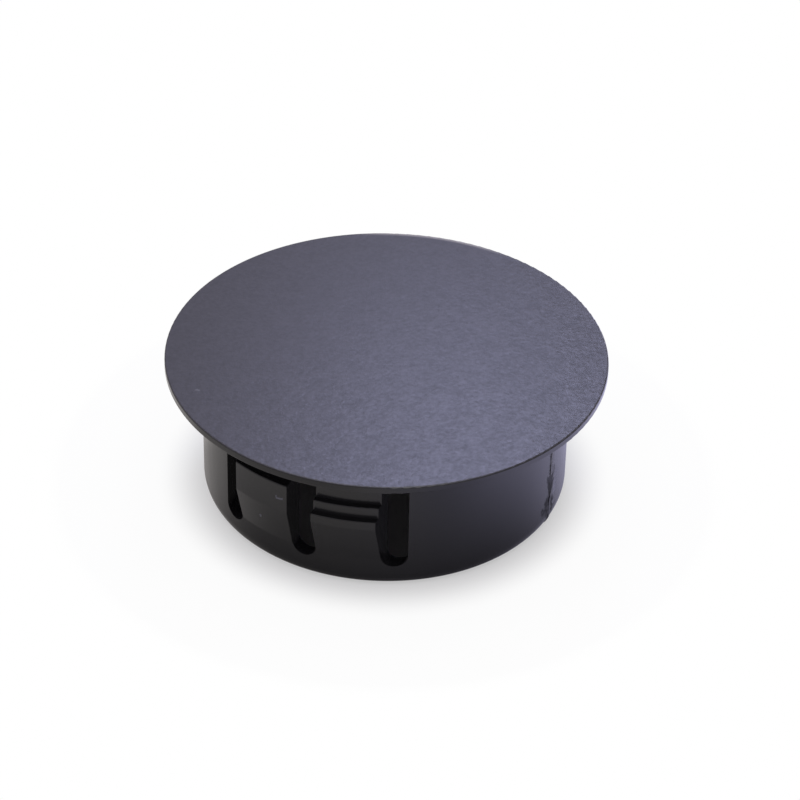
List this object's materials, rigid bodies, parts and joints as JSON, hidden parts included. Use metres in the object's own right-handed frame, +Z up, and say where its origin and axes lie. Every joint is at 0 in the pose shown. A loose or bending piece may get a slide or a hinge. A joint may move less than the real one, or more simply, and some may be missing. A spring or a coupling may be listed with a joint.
{
  "type": "snap-in hole plug",
  "caption": "Flat round plastic plug whose hollow slotted skirt snaps into a round panel hole and whose thin flanged head covers it.",
  "frame": {"origin": "on the plug's axis, at the plane of its foot, on which it stands head up", "axes": "+Z up along the plug's axis towards the head; -Y to the viewer; the front pair of fingers is turned 24.7 degrees about +Z from -Y towards -X"},
  "size_m": [0.0302, 0.0302, 0.0103],
  "materials": {
    "black_nylon": "moulded black nylon: a fine matte grain on the head, smoother and a little glossy on the skirt"
  },
  "bodies": {
    "root": {"hole_plug": "black_nylon"}
  },
  "joints": []
}
